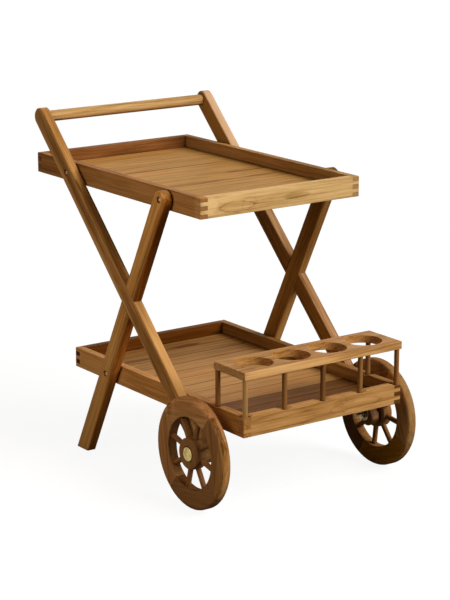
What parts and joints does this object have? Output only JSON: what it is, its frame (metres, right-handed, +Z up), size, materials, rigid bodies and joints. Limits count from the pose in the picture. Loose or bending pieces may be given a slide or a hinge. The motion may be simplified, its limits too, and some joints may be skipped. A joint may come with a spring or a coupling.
{
  "type": "hostess trolley",
  "caption": "Wooden hostess trolley with two slatted trays on crossed legs, a handle bar, a pair of spoked wheels and a holed bottle rack over the lower tray.",
  "frame": {"origin": "on the floor under the middle of the trolley's plan", "axes": "+Z up, +Y towards the handle, -Y towards the wheels and the bottle rack, X across the trolley along the wheel bolts"},
  "size_m": [0.5988, 0.905, 0.8567],
  "materials": {
    "bearer_teak": "oiled satin hardwood with open grain",
    "board_teak": "oiled satin hardwood with open grain",
    "brass": "dull bright metal",
    "dark_board_teak": "oiled satin hardwood with open grain",
    "handle_teak": "oiled satin hardwood with open grain",
    "hub_teak": "oiled satin hardwood with open grain",
    "leg_teak": "oiled satin hardwood with open grain",
    "post_teak": "oiled satin hardwood with open grain",
    "rack_teak": "oiled satin hardwood with open grain",
    "rail_teak": "oiled satin hardwood with open grain",
    "rim_teak": "oiled satin hardwood with open grain",
    "spoke_teak": "oiled satin hardwood with open grain"
  },
  "bodies": {
    "frame": {"bottle_rack_board": "rack_teak", "bottom_tray_bearer": "bearer_teak", "bottom_tray_board_01": "dark_board_teak", "bottom_tray_board_02": "dark_board_teak", "bottom_tray_board_03": "dark_board_teak", "bottom_tray_board_04": "board_teak", "bottom_tray_board_05": "board_teak", "bottom_tray_board_06": "board_teak", "bottom_tray_board_07": "board_teak", "bottom_tray_board_08": "board_teak", "bottom_tray_board_09": "board_teak", "bottom_tray_board_10": "board_teak", "bottom_tray_board_11": "board_teak", "bottom_tray_board_12": "board_teak", "bottom_tray_front_rail": "rail_teak", "bottom_tray_left_rail": "rail_teak", "bottom_tray_rear_rail": "rail_teak", "bottom_tray_right_rail": "rail_teak", "handle_bar": "handle_teak", "left_foot_leg": "leg_teak", "left_handle_leg": "leg_teak", "rack_front_post_1": "post_teak", "rack_front_post_2": "post_teak", "rack_front_post_3": "post_teak", "rack_front_post_4": "post_teak", "rack_front_post_5": "post_teak", "rack_rear_post_left": "post_teak", "rack_rear_post_right": "post_teak", "right_foot_leg": "leg_teak", "right_handle_leg": "leg_teak", "top_tray_bearer": "bearer_teak", "top_tray_board_01": "board_teak", "top_tray_board_02": "board_teak", "top_tray_board_03": "board_teak", "top_tray_board_04": "board_teak", "top_tray_board_05": "board_teak", "top_tray_board_06": "board_teak", "top_tray_board_07": "board_teak", "top_tray_board_08": "board_teak", "top_tray_board_09": "board_teak", "top_tray_board_10": "board_teak", "top_tray_board_11": "board_teak", "top_tray_board_12": "board_teak", "top_tray_front_rail": "rail_teak", "top_tray_left_rail": "rail_teak", "top_tray_rear_rail": "rail_teak", "top_tray_right_rail": "rail_teak", "tray_bolt_inserts": "brass", "tray_bolts": "brass", "wheel_bolt_nuts": "brass", "wheel_bolt_washers": "brass", "wheel_bolts": "brass"},
    "left_wheel": {"left_wheel_bush": "brass", "left_wheel_hub": "hub_teak", "left_wheel_rim": "rim_teak", "left_wheel_spokes": "spoke_teak"},
    "right_wheel": {"right_wheel_bush": "brass", "right_wheel_hub": "hub_teak", "right_wheel_rim": "rim_teak", "right_wheel_spokes": "spoke_teak"}
  },
  "joints": [
    {"name": "left_wheel_spin", "type": "hinge", "parent": "frame", "child": "left_wheel", "pos_m": [-0.2794, -0.3142, 0.135], "axis": [1, 0, 0], "continuous": true},
    {"name": "right_wheel_spin", "type": "hinge", "parent": "frame", "child": "right_wheel", "pos_m": [0.2794, -0.3142, 0.135], "axis": [1, 0, 0], "continuous": true}
  ]
}
